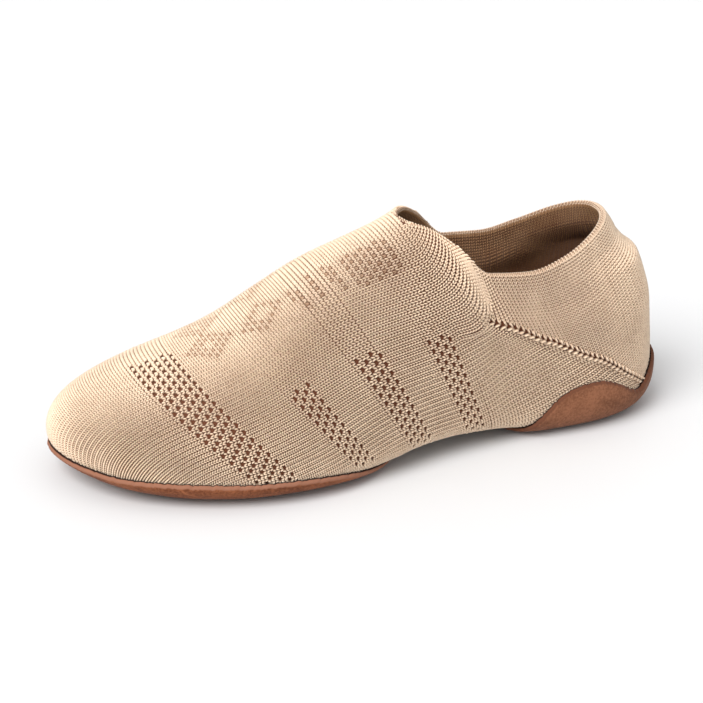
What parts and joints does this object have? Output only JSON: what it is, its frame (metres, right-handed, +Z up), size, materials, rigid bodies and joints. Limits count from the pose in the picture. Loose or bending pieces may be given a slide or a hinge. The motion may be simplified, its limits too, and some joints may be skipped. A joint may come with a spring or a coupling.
{
  "type": "jazz shoe",
  "caption": "Slip-on knitted jazz dance shoe, left foot, sock-like knit upper open at the ankle, split suede sole under the forefoot and heel.",
  "frame": {"origin": "on the floor, under the middle of the shoe's bounding box", "axes": "+X from heel to toe, +Y to the wearer's left, the outer side of this left shoe, +Z up from the floor"},
  "size_m": [0.2474, 0.0946, 0.0875],
  "materials": {
    "knit": "matte beige knitted yarn",
    "forefoot_suede": "matte brown suede",
    "heel_suede": "matte brown suede",
    "lining": "matte brown knitted lining"
  },
  "bodies": {
    "root": {"upper": "knit", "forefoot_outsole": "forefoot_suede", "heel_outsole": "heel_suede", "insole": "lining"}
  },
  "joints": []
}
